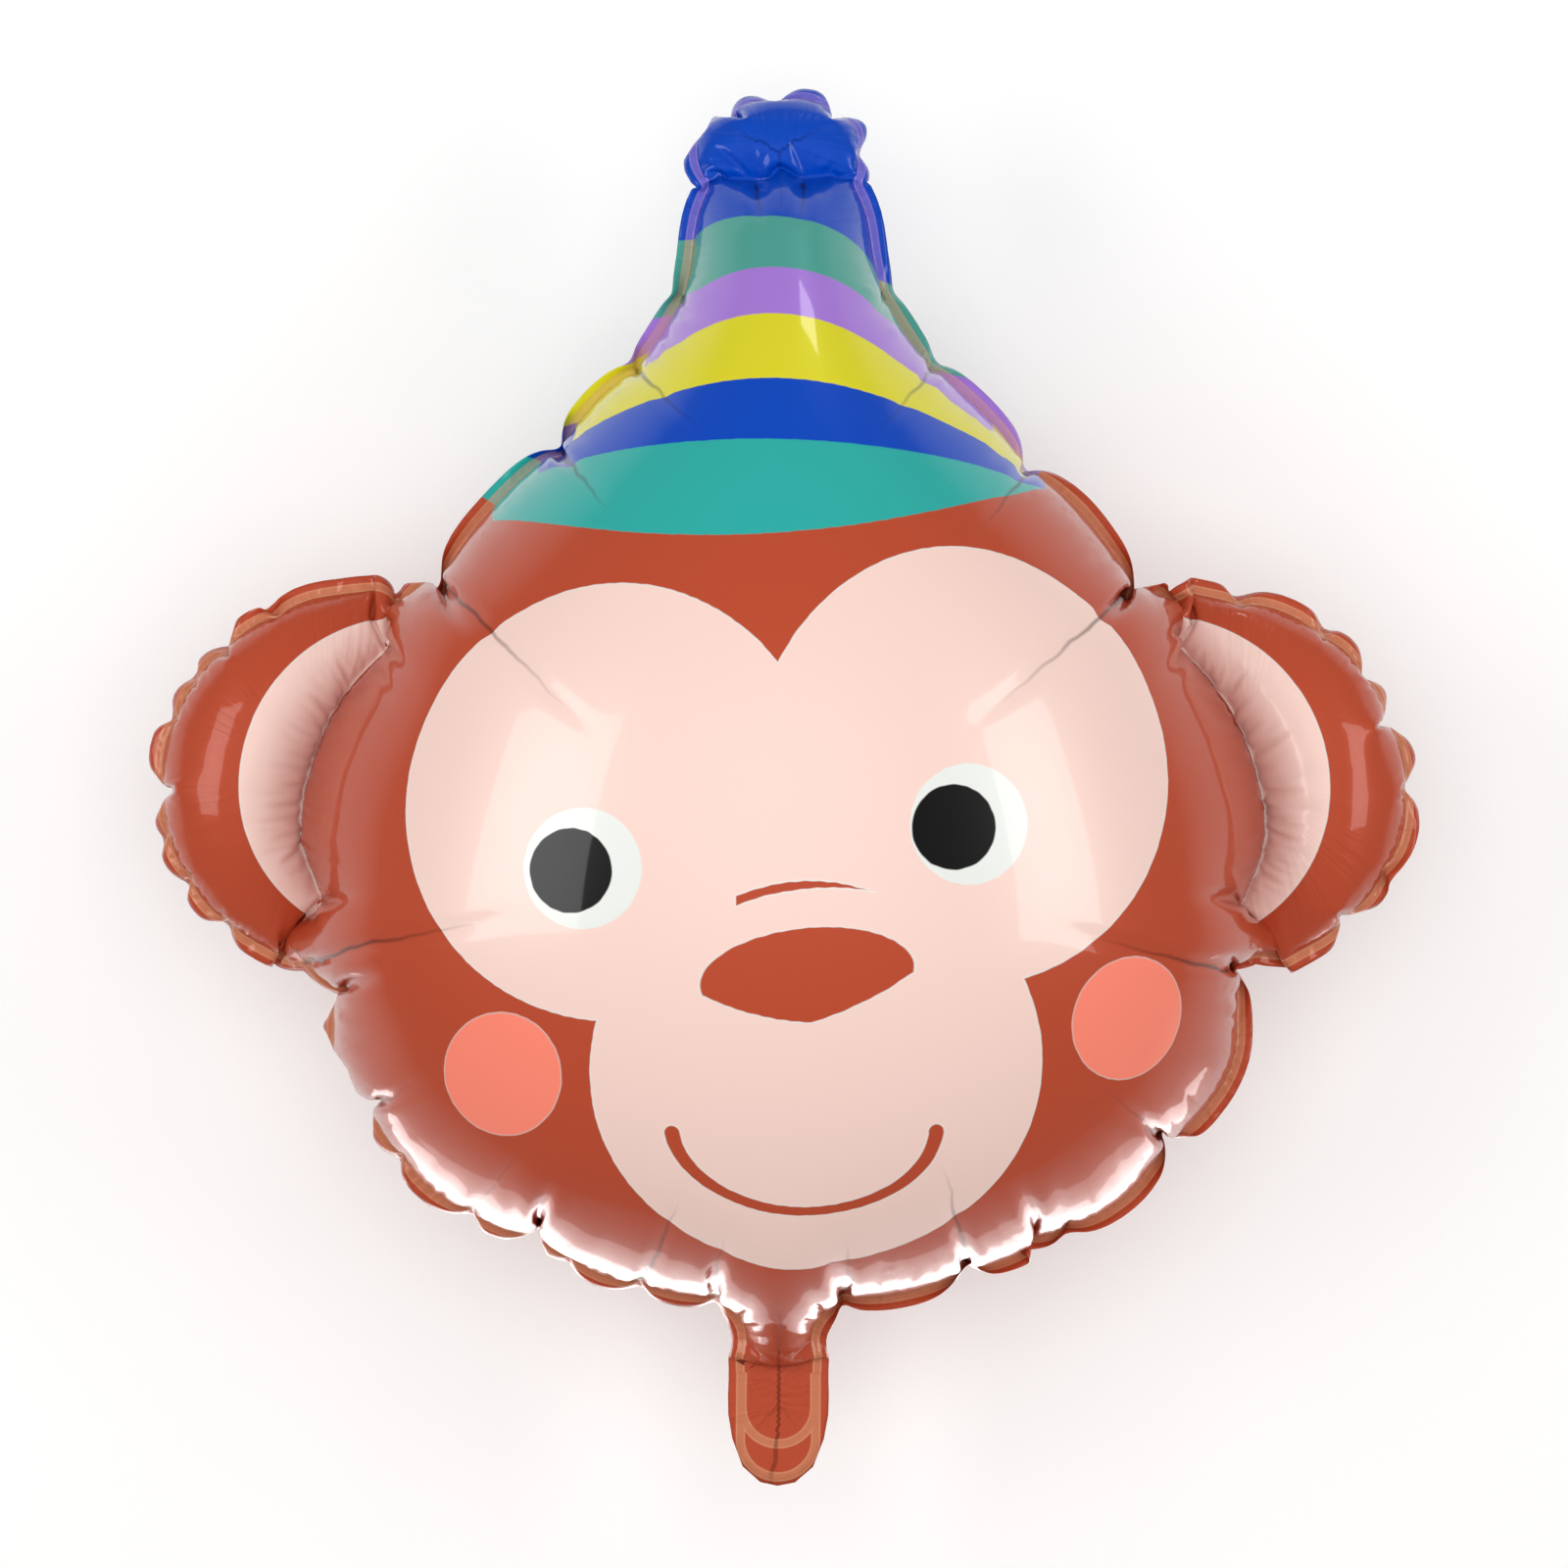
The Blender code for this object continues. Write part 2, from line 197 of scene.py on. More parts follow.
def cut_blank(near, far, band):
    """One flat sheet in triangles, its flange, its welded points, and how the puckers pull them."""
    weld, pull = weld_loop(near)
    lines = creases(near)
    run = np.roll(weld, -1, 0) - np.roll(weld, 1, 0)
    out = np.stack([run[:, 1], -run[:, 0]], 1) / np.linalg.norm(run, axis=1)[:, None]
    wide = np.full((len(weld), 2), FLANGE_WIDTH)
    wide[weld[:, 1] < TAIL_END_BELOW, 1] = TAIL_FLANGE
    edge = weld + out * wide
    points, borders = [weld, edge], []
    for start in (0, len(weld)):
        borders += [(start + i, start + (i + 1) % len(weld)) for i in range(len(weld))]
    for line in lines:
        start = sum(map(len, points))
        borders += [(start + i, start + i + 1) for i in range(len(line) - 1)]
        points.append(line)
    for step, nearest, furthest in ((near, CLEAR_OF_WELD * near, band), (far, band + CLEAR_OF_BAND * far, 1)):
        filling = grid(edge.min(0), edge.max(0), step)
        filling = filling[inside(filling, weld)]
        gap = from_welds(filling, weld, lines)
        points.append(filling[(gap > nearest) & (gap < furthest)])
    result = delaunay_2d_cdt([Vector(p) for p in np.vstack(points)], borders, [], 0, 1e-7)
    flat, triangles = np.array([tuple(v) for v in result[0]]), np.array(result[2])
    triangles = triangles[inside(flat[triangles].mean(1), edge)]
    a, b, c = flat[triangles].transpose(1, 0, 2)
    turned = np.cross(b - a, c - a) < 0
    triangles[turned] = triangles[turned][:, ::-1]
    middle = flat[triangles].mean(1)
    flange = ~inside(middle, weld) | (middle[:, 1] < GAS_ENDS_AT)
    on_weld = from_welds(flat, weld, lines) < SAME_PLACE
    welded = ~inside(flat, weld) | on_weld | (flat[:, 1] < GAS_ENDS_AT)
    pulls = np.zeros((len(flat), 3))
    for line in (weld, edge):
        for point, value in zip(line, out * pull[:, None]):
            pulls[np.linalg.norm(flat - point, axis=1) < SAME_PLACE, :2] = value
    # together the pulls neither shift the balloon nor turn it
    held = pulls.any(1)
    arm = flat[held] - flat[held].mean(0)
    pulls[held, :2] -= pulls[held, :2].mean(0)
    turning = np.cross(arm, pulls[held, :2]).sum() / (arm * arm).sum()
    pulls[held, :2] -= turning * np.stack([-arm[:, 1], arm[:, 0]], 1)
    return flat, triangles, flange, welded, pulls


# The gas. The film bends but hardly stretches, so as the blank fills, its outline is drawn in and
# puckers into puffs, and stays welded. The blank is filled coarse, cut again finer, and settled.
PLIES_APART = 0.003
ROUGHNESS_OF_BLANK = 0.0003
PUCKER_START = 0.003
SEAM_HEIGHT = 0.1228
HALF_FILM = 0.08 * MM
# near and far spacing, and how far from the welds the near one reaches, in mm
BLANKS = [(8, 11, 30), (5.5, 11, 34)]
# steps, gas pressure, stiffness against folding, the welded flange's stiffness and draw of the
# puckers, for each finer mesh
FILLING = [
    (600, 6e-5, 0.06, 0.06, 5e-5),
    (400, 4e-5, 0.05, 0.08, 4e-5),
    (250, 1.5e-5, 0.04, 0.2, 1.2e-5),
    (120, 5e-6, 0.03, 0.2, 3e-6),
]
SPEED_KEPT = 0.985
SEED = 4


def sides_of(triangles):
    """The two ends of each triangle's three sides, the lower number first."""
    return np.sort(np.concatenate([triangles[:, [0, 1]], triangles[:, [1, 2]], triangles[:, [2, 0]]]), 1)


def finer(triangles, count):
    """Each triangle cut in four, and the two ends of each new point's side."""
    ends, place = np.unique(sides_of(triangles), axis=0, return_inverse=True)
    ab, bc, ca = count + place.reshape(3, -1)
    a, b, c = triangles.T
    quarters = (a, ab, ca), (ab, b, bc), (ca, bc, c), (ab, bc, ca)
    return np.concatenate([np.stack(quarter, 1) for quarter in quarters]), ends


def across(triangles):
    """The two far corners over each inner side, which come together where the film folds."""
    sides = sides_of(triangles)
    far = np.concatenate([triangles[:, 2], triangles[:, 0], triangles[:, 1]])
    order = np.lexsort((sides[:, 1], sides[:, 0]))
    first = np.nonzero((sides[order][1:] == sides[order][:-1]).all(1))[0]
    return np.stack([far[order[first]], far[order[first + 1]]], 1)


def sorted_apart(pairs, flat):
    """The pairs in groups that share no point, so that a whole group can be corrected at once."""
    used, group = [0] * len(flat), np.empty(len(pairs), int)
    for i, (a, b) in enumerate(pairs.tolist()):
        taken = used[a] | used[b]
        free = ~taken & (taken + 1)
        group[i] = free.bit_length() - 1
        used[a] |= free
        used[b] |= free
    length = np.linalg.norm(flat[pairs[:, 0]] - flat[pairs[:, 1]], axis=1)
    return [(*pairs[group == g].T, length[group == g]) for g in range(group.max() + 1)]


class Balloon:
    """Two sheets of film that share their welded points, with gas between them."""

    def __init__(self, flat, triangles, flange, welded):
        free = np.nonzero(~welded)[0]
        self.count = len(flat)
        self.free = free
        self.back = np.arange(len(flat))
        self.back[free] = len(flat) + np.arange(len(free))
        self.flat = np.concatenate([flat, flat[free]])
        behind = self.back[triangles]
        self.gas_side = np.concatenate([triangles[~flange], behind[~flange][:, ::-1]])
        film = np.concatenate([triangles, behind[~flange]])
        self.sides = sorted_apart(np.unique(sides_of(film), axis=0), self.flat)
        folds = np.unique(np.sort(np.concatenate([across(triangles), across(behind)]), 1), axis=0)
        self.folds = sorted_apart(folds[folds[:, 0] != folds[:, 1]], self.flat)
        joined = np.concatenate([welded, np.zeros(len(free), bool)])
        self.two_ply = [joined[a] & joined[b] for a, b, _ in self.folds]
        a, b, c = self.flat[film].transpose(1, 0, 2)
        area = np.abs(np.cross(b - a, c - a)) / 2
        self.share = np.percentile(np.bincount(film.ravel(), np.repeat(area / 3, 3), len(self.flat)), 90)
        self.seam = np.nonzero(welded)[0]
        self.tail = np.nonzero(self.flat[:, 1] < GAS_ENDS_AT)[0]

    def push(self, place):
        """The gas's push on each point, square to the film round it."""
        a, b, c = place[self.gas_side].transpose(1, 0, 2)
        force = np.cross(b - a, c - a) / 6 / self.share
        corners = self.gas_side.T.ravel()
        return np.stack([np.bincount(corners, np.tile(force[:, k], 3), len(place)) for k in range(3)], 1)

    def fill(self, place, pulls, steps, pressure, stiffness, flange_stiffness, draw):
        """Where every point is after these steps under pressure, with each side's length kept."""
        speed = np.zeros_like(place)
        stiff = [0.5 * np.where(two_ply, flange_stiffness, stiffness) for two_ply in self.two_ply]
        for step in range(steps):
            if step % 2 == 0:
                force = self.push(place) * pressure
            speed = speed * SPEED_KEPT + force
            before = place
            place = place + speed
            place[:self.count] += pulls * draw
            for a, b, length in self.sides:
                gap = place[b] - place[a]
                size = np.sqrt((gap * gap).sum(1))
                gap *= (0.5 * (size - length) / (size + 1e-12))[:, None]
                place[a] += gap
                place[b] -= gap
            for (a, b, length), share in zip(self.folds, stiff):
                gap = place[b] - place[a]
                size = np.sqrt((gap * gap).sum(1))
                gap *= (share * np.minimum(size - length, 0) / (size + 1e-12))[:, None]
                place[a] += gap
                place[b] -= gap
            place[self.tail, 2] *= 0.5
            place[:, 2] -= place[self.seam, 2].mean()
            np.maximum(place[:, 2], HALF_FILM - SEAM_HEIGHT, out=place[:, 2])
            speed = place - before
        return place


def carried(old_flat, triangles, fields, flat):
    """Values on one blank, read at the points of another."""
    tree = BVHTree.FromPolygons([(x, y, 0) for x, y in old_flat], triangles.tolist())
    found = triangles[[tree.find_nearest((x, y, 0))[2] for x, y in flat]]
    a, b, c = old_flat[found].transpose(1, 0, 2)
    whole = np.cross(b - a, c - a)
    at_b, at_c = np.cross(flat - a, c - a) / whole, np.cross(b - a, flat - a) / whole
    share = np.stack([1 - at_b - at_c, at_b, at_c], 1)[:, :, None]
    return [(field[found] * share).sum(1) for field in fields]


levels = FILLING
for level, filling in enumerate(levels):
    if level < len(BLANKS):
        blank = cut_blank(*(v * MM for v in BLANKS[level]))
        if level:
            front, back = carried(flat, triangles, (front, back), blank[0])
        flat, triangles, flange, welded, pulls = blank
        if not level:
            rough = np.random.default_rng(SEED).normal(0, ROUGHNESS_OF_BLANK, (len(flat), 1))
            front = np.concatenate([flat, rough], 1)
            front += pulls * PUCKER_START
            back = front - (0, 0, PLIES_APART)
            front[~welded, 2] += PLIES_APART
        front[welded] = (front[welded] + back[welded]) / 2
    else:
        triangles, ends = finer(triangles, len(flat))
        flange = np.concatenate([flange] * 4)
        welded = np.concatenate([welded, welded[ends].all(1)])
        flat, front, back, pulls = (np.concatenate([f, f[ends].mean(1)]) for f in (flat, front, back, pulls))
    balloon = Balloon(flat, triangles, flange, welded)
    place = np.concatenate([front, back[balloon.free]])
    place = balloon.fill(place, pulls, *filling)
    front, back = place[:balloon.count], place[balloon.back]


# The front sheet. Polyester film with a metallised face, printed in flat inks on the reverse of the
# blank: brown head and ears, pale face, striped hat. Its print is laid out on the flat cut in mm.
BROWN, PALE_PINK, CORAL, EYE_WHITE, BLACK = "#B84A2E", "#F6D5CB", "#FF8A74", "#E9ECE7", "#0C0C0C"
HAT_TEAL, HAT_BLUE, HAT_YELLOW = "#2CABA4", "#0046BC", "#DED628"
HAT_PURPLE, HAT_GREEN = "#A67AD8", "#4CA094"
# each stripe's lower edge: its height over the middle, how far it curves up, where its middle is, how
# much higher it runs beside the weld, and its ink
HAT_STRIPES = [
    (86.8, 0.0024, -16, 15, HAT_TEAL),
    (124.5, 0.0007, 28, 22, HAT_BLUE),
    (153.5, -0.0005, -62, 29, HAT_YELLOW),
    (183.1, -0.0018, -29, 30, HAT_PURPLE),
    (209.3, -0.0007, -80, 12, HAT_GREEN),
    (229.6, 0.0027, 30, 0, HAT_BLUE),
]
# how far inside the weld a stripe's lift starts to fade, and where it is gone
LIFT_FULL, LIFT_GONE = 3.0, 30.0
# the ovals of the print: centre, half width and half height, and turn in degrees
LEFT_LOBE = ((-65.3, -10.2), (81.2, 79.2), -52)
RIGHT_LOBE = ((70, 3.7), (82.4, 79.8), 58)
MUZZLE = ((13.5, -113.8), (83.1, 83.1), 0)
EAR_CRESCENTS = [
    (((-189, 5.5), (78, 78), 0), ((-46, -28.7), (190, 190), 0)),
    (((188.5, 5), (79.5, 79.5), 0), ((46, -28.7), (190, 190), 0)),
]
CHEEKS = [((-105.5, -114.9), (26.3, 23.2), 54), ((132.8, -94), (25, 24), -30)]
EYES = [
    (((-72, -35.4), (22, 22), 0), ((-76.2, -36.2), (15.4, 15.4), 0)),
    (((66.6, -19.4), (21.8, 21.8), 0), ((60.9, -20.5), (15.4, 15.4), 0)),
]
NOSE = [((8.9, -74), (38.1, 17.6), 6), ((13.6, 3.2), (93.8, 93.8), 0), ((-26.2, 27.5), (123.7, 123.7), 0)]
BROW = [((9.5, -103.6), (64, 64), 0), ((17, -131.9), (90, 90), 0)]
BROW_STARTS = -16.5
SMILE = ((8.7, -131.7), (49.1, 35.5), -4.2)
SMILE_STROKE = 4.8
SMILE_TOP = -133.9
SMILE_ENDS = [((-40, -133.9), (2.8, 2.8), 0), ((57.6, -133.9), (2.8, 2.8), 0)]
# half the soft edge of an ink, and the white line left round pale prints and round brown ones
INK_EDGE = 0.25
LINE_ROUND_PALE, LINE_ROUND_BROWN = 0.4, 0.5
# the weld's band, the fine line at its edges, and how strongly both show
WELD_BAND, WELD_LINE = 3.3, 0.5
BAND_COVER, LINE_COVER, BAND_SUNK = 0.4, 0.6, 0.06
# the weld's tint on the brown and on the blue print, and the dark colour painted into the creases' folds as painted
# shade
WELD_ON_BROWN, WELD_ON_BLUE, PAINTED_FOLD_SHADE = "#DDA27A", "#A68AE0", "#1E0E0A"
# how far down the tail its filling channel and its outer weld reach, and half their width
TAIL_MARKS_BELOW = -285
CHANNEL = (-312.2, 13.2)
TAIL_WELD = (-329, 17)
# where each long crease leaves its pucker, where it fades out, and how deep it is; the depth also sets how dark the
# painted shade in its fold is
LONG_CREASES = [
    ((-62, 228), (-38, 188), 0.5), ((-88, 202), (-24, 120), 0.9), ((-124, 171), (-58, 90), 1.0),
    ((-179, 115), (-64, 10), 1.0), ((62, 228), (40, 190), 0.5), ((88, 202), (27, 119), 0.8),
    ((133, 162), (69, 85), 1.0), ((185, 109), (62, 12), 1.0), ((-236, -82), (-92, -52), 1.0),
    ((231, -93), (96, -56), 1.0), ((192, -174), (111, -111), 0.7), ((145, -217), (108, -160), 0.5),
    ((93, -243), (57, -136), 1.0), ((37, -258), (25, -172), 0.8), ((-37, -258), (-19, -168), 0.8),
    ((-70, -250), (-34, -152), 1.0), ((-155, -209), (-88, -134), 0.6), ((-203, -160), (-122, -108), 0.5),
    ((-11, 262), (-8, 224), 0.7), ((11, 262), (7, 224), 0.7),
]
# half width of the painted shade along a crease and how far its line wanders, and the width and depth of the groove
# pressed into the sheet, in mm
CREASE_WIDTH, CREASE_WANDER = 1.6, 2.0
GROOVE_WIDTH, GROOVE_DEPTH = 4.2, 2.6
# lines from drawing the film, how many cross a mm along it and across it, and their depth
DRAWN_LINES, DRAWN_DEPTH = (0.02, 2.5, 1), 0.012
# short wrinkles, how many cross a mm along the weld and away from it, in patches of some 45 mm
WRINKLES, WRINKLE_PATCHES = (0.3, 0.012, 1), 0.022
WRINKLE_REACH, WRINKLE_DEPTH = 55.0, 0.9
# the crumpled film in the filling channel, and the heights where it starts and ends
CRUMPLE_GRAIN, CRUMPLE_DEPTH = 0.35, 1.0
CRUMPLE_TOP, CRUMPLE_END = (-268.0, -276.0), (-306.0, -290.0)
FLOOR_CLEARANCE = 0.2 * MM


def linear(hex_colour):
    parts = [int(hex_colour[i:i + 2], 16) / 255 for i in (1, 3, 5)]
    return *(p / 12.92 if p <= 0.04045 else ((p + 0.055) / 1.055) ** 2.4 for p in parts), 1.0


def add(tree, kind, links=None, **settings):
    """One node with its settings; links name an input and the output or value that goes there."""
    node = tree.nodes.new(kind)
    for name, value in settings.items():
        setattr(node, name, value)
    for socket, value in (links or {}).items():
        if isinstance(value, bpy.types.NodeSocket):
            tree.links.new(value, node.inputs[socket])
        else:
            node.inputs[socket].default_value = value
    return node


def oval(tree, cut, centre, radii, turn=0.0):
    """Distance outside an oval on the flat cut, in mm, less than nothing inside it."""
    local = add(tree, "ShaderNodeMapping", {
        "Vector": cut, "Location": (*centre, 0), "Rotation": (0, 0, math.radians(turn)), "Scale": (*radii, 1),
    }, vector_type="TEXTURE")
    size = add(tree, "ShaderNodeVectorMath", {0: local.outputs[0]}, operation="LENGTH").outputs["Value"]
    middle = math.sqrt(radii[0] * radii[1])
    return add(tree, "ShaderNodeMath", {0: size, 1: middle, 2: -middle}, operation="MULTIPLY_ADD").outputs[0]


def joined(tree, how, *shapes):
    """Shapes added together (MINIMUM) or cut to what they share (MAXIMUM)."""
    shape = shapes[0]
    for other in shapes[1:]:
        shape = add(tree, "ShaderNodeMath", {0: shape, 1: other}, operation=how).outputs[0]
    return shape


def outside_of(tree, shape):
    return add(tree, "ShaderNodeMath", {0: shape, 1: -1.0}, operation="MULTIPLY").outputs[0]


def stroke(tree, shape, at, width):
    """Distance outside a line that follows a shape's edge, this far outside it."""
    aside = add(tree, "ShaderNodeMath", {0: shape, 1: at}, operation="SUBTRACT").outputs[0]
    aside = add(tree, "ShaderNodeMath", {0: aside}, operation="ABSOLUTE").outputs[0]
    return add(tree, "ShaderNodeMath", {0: aside, 1: width / 2}, operation="SUBTRACT").outputs[0]


def tongue(tree, x, y, end, half_width):
    """Distance outside a straight tongue that ends round, this far down."""
    down = add(tree, "ShaderNodeMath", {0: y, 1: -end - half_width}, operation="ADD").outputs[0]
    down = add(tree, "ShaderNodeMath", {0: down, 1: 0.0}, operation="MINIMUM").outputs[0]
    from_middle = add(tree, "ShaderNodeCombineXYZ", {0: x, 1: down}).outputs[0]
    size = add(tree, "ShaderNodeVectorMath", {0: from_middle}, operation="LENGTH").outputs["Value"]
    return add(tree, "ShaderNodeMath", {0: size, 1: half_width}, operation="SUBTRACT").outputs[0]


def inked(tree, under, shape, ink, spread=0.0, cover=1.0):
    """A flat ink laid over what is printed, inside a shape."""
    laid = add(tree, "ShaderNodeMapRange", {
        "Value": shape, "From Min": spread - INK_EDGE, "From Max": spread + INK_EDGE, "To Min": cover, "To Max": 0.0,
    }).outputs[0]
    ink = linear(ink) if isinstance(ink, str) else ink
    return add(tree, "ShaderNodeMix", {"Factor": laid, 6: under, 7: ink}, data_type="RGBA").outputs[2]


def hat_print(tree, x, y, seam):
    """The brown film with the hat's stripes over it, and the distance outside the hat."""
    colour, hat = linear(BROWN), None
    beside = add(tree, "ShaderNodeMapRange", {
        "Value": seam, "From Min": LIFT_FULL, "From Max": LIFT_GONE, "To Min": 1.0, "To Max": 0.0,
    }).outputs[0]
    for height, bend, middle, lift, ink in HAT_STRIPES:
        aside = add(tree, "ShaderNodeMath", {0: x, 1: middle}, operation="SUBTRACT").outputs[0]
        square = add(tree, "ShaderNodeMath", {0: aside, 1: aside}, operation="MULTIPLY").outputs[0]
        edge = add(tree, "ShaderNodeMath", {0: square, 1: bend, 2: height}, operation="MULTIPLY_ADD").outputs[0]
        edge = add(tree, "ShaderNodeMath", {0: beside, 1: lift, 2: edge}, operation="MULTIPLY_ADD").outputs[0]
        above = add(tree, "ShaderNodeMath", {0: edge, 1: y}, operation="SUBTRACT").outputs[0]
        hat = above if hat is None else joined(tree, "MAXIMUM", hat, above)
        colour = inked(tree, colour, hat, ink)
    return colour, hat


def face_print(tree, colour, cut, x, y):
    """The pale face and ear crescents, cheeks, eyes, nose, brow and smile, printed over the brown."""
    pale_prints = [joined(tree, "MINIMUM", *(oval(tree, cut, *part) for part in (LEFT_LOBE, RIGHT_LOBE, MUZZLE)))]
    for outer, inner in EAR_CRESCENTS:
        inner = outside_of(tree, oval(tree, cut, *inner))
        pale_prints.append(joined(tree, "MAXIMUM", oval(tree, cut, *outer), inner))
    for shape in pale_prints:
        colour = inked(tree, colour, shape, EYE_WHITE, LINE_ROUND_PALE)
        colour = inked(tree, colour, shape, PALE_PINK)
    for cheek in CHEEKS:
        colour = inked(tree, colour, oval(tree, cut, *cheek), EYE_WHITE, LINE_ROUND_PALE, 0.6)
        colour = inked(tree, colour, oval(tree, cut, *cheek), CORAL)
    for white, pupil in EYES:
        colour = inked(tree, colour, oval(tree, cut, *white), EYE_WHITE)
        colour = inked(tree, colour, oval(tree, cut, *pupil), BLACK)
    nose = joined(tree, "MAXIMUM", *(oval(tree, cut, *part) for part in NOSE))
    left_of_brow = add(tree, "ShaderNodeMath", {0: BROW_STARTS, 1: x}, operation="SUBTRACT").outputs[0]
    under_brow = outside_of(tree, oval(tree, cut, *BROW[1]))
    brow = joined(tree, "MAXIMUM", oval(tree, cut, *BROW[0]), under_brow, left_of_brow)
    above = add(tree, "ShaderNodeMath", {0: y, 1: SMILE_TOP}, operation="SUBTRACT").outputs[0]
    mouth = joined(tree, "MAXIMUM", stroke(tree, oval(tree, cut, *SMILE), 0, SMILE_STROKE), above)
    mouth = joined(tree, "MINIMUM", mouth, *(oval(tree, cut, *end) for end in SMILE_ENDS))
    for mark in (nose, brow, mouth):
        colour = inked(tree, colour, mark, EYE_WHITE, LINE_ROUND_BROWN, 0.8)
        colour = inked(tree, colour, mark, BROWN)
    return colour


def weld_marks(tree, colour, tint, x, y, seam):
    """The paler band that the hot jaws leave, its fine edges, and the distances outside both marks."""
    in_tail = add(tree, "ShaderNodeMath", {0: y, 1: TAIL_MARKS_BELOW}, operation="SUBTRACT").outputs[0]
    off_tail = outside_of(tree, in_tail)
    channel, outer = tongue(tree, x, y, *CHANNEL), tongue(tree, x, y, *TAIL_WELD)
    # round the filling channel and the pocket under it
    beyond = add(tree, "ShaderNodeMath", {0: WELD_BAND, 1: channel}, operation="SUBTRACT").outputs[0]
    within = add(tree, "ShaderNodeMath", {0: outer, 1: WELD_BAND}, operation="ADD").outputs[0]
    pocket = joined(tree, "MAXIMUM", within, beyond)
    tail_band = joined(tree, "MAXIMUM", in_tail, outer, outside_of(tree, channel), outside_of(tree, pocket))
    seam_band = joined(tree, "MAXIMUM", off_tail, stroke(tree, seam, -WELD_BAND / 2, WELD_BAND))
    pressed = joined(tree, "MINIMUM", seam_band, tail_band)
    colour = inked(tree, colour, pressed, tint, cover=BAND_COVER)
    tail_lines = joined(tree, "MINIMUM", *(stroke(tree, edge, 0, WELD_LINE) for edge in (channel, outer, pocket)))
    seam_lines = joined(tree, "MINIMUM", *(stroke(tree, seam, at, WELD_LINE) for at in (-0.3, -WELD_BAND)))
    tail_lines = joined(tree, "MAXIMUM", tail_lines, in_tail)
    seam_lines = joined(tree, "MAXIMUM", seam_lines, off_tail)
    colour = inked(tree, colour, joined(tree, "MINIMUM", tail_lines, seam_lines), tint, cover=LINE_COVER)
    return colour, pressed, channel


def painted_crease_shade(tree, colour, cut):
    """Painted shade along thin sharp creases in the film: the colour is darkened in the fold, along lines that
    wander a little off a straight line.
    """
    wander = add(tree, "ShaderNodeTexNoise", {"Vector": cut, "Scale": 0.06, "Detail": 1.0}).outputs["Color"]
    wander = add(tree, "ShaderNodeVectorMath", {
        0: wander, 1: (2 * CREASE_WANDER, 2 * CREASE_WANDER, 0), 2: (-CREASE_WANDER, -CREASE_WANDER, 0),
    }, operation="MULTIPLY_ADD").outputs[0]
    bent = add(tree, "ShaderNodeVectorMath", {0: cut, 1: wander}, operation="ADD").outputs[0]
    folds = []
    for start, end, deep in LONG_CREASES:
        run = Vector(end) - Vector(start)
        local = add(tree, "ShaderNodeMapping", {
            "Vector": bent, "Location": (*start, 0), "Rotation": (0, 0, math.atan2(run.y, run.x)),
            "Scale": (run.length, 1, 1),
        }, vector_type="TEXTURE").outputs[0]
        share, aside, _ = add(tree, "ShaderNodeSeparateXYZ", {0: local}).outputs
        aside = add(tree, "ShaderNodeMath", {0: aside}, operation="ABSOLUTE").outputs[0]
        width = add(tree, "ShaderNodeMapRange", {
            "Value": aside, "From Min": 0.0, "From Max": CREASE_WIDTH, "To Min": deep, "To Max": 0.0,
        }).outputs[0]
        fade = add(tree, "ShaderNodeMapRange", {
            "Value": share, "From Min": 0.0, "From Max": 1.0, "To Min": 1.0, "To Max": 0.0,
        }).outputs[0]
        starts = add(tree, "ShaderNodeMapRange", {"Value": share, "From Min": -0.02, "From Max": 0.02}).outputs[0]
        line = add(tree, "ShaderNodeMath", {0: width, 1: fade}, operation="MULTIPLY").outputs[0]
        folds.append(add(tree, "ShaderNodeMath", {0: line, 1: starts}, operation="MULTIPLY").outputs[0])
    # painted shade: the colour is darkened towards the fold's dark colour along the middle of each crease
    painted_darkening = add(tree, "ShaderNodeMapRange", {
        "Value": joined(tree, "MAXIMUM", *folds), "From Min": 0.1, "From Max": 0.5, "To Min": 0.0, "To Max": 0.7,
    }).outputs[0]
    shade = linear(PAINTED_FOLD_SHADE)
    return add(tree, "ShaderNodeMix", {"Factor": painted_darkening, 6: colour, 7: shade}, data_type="RGBA").outputs[2]


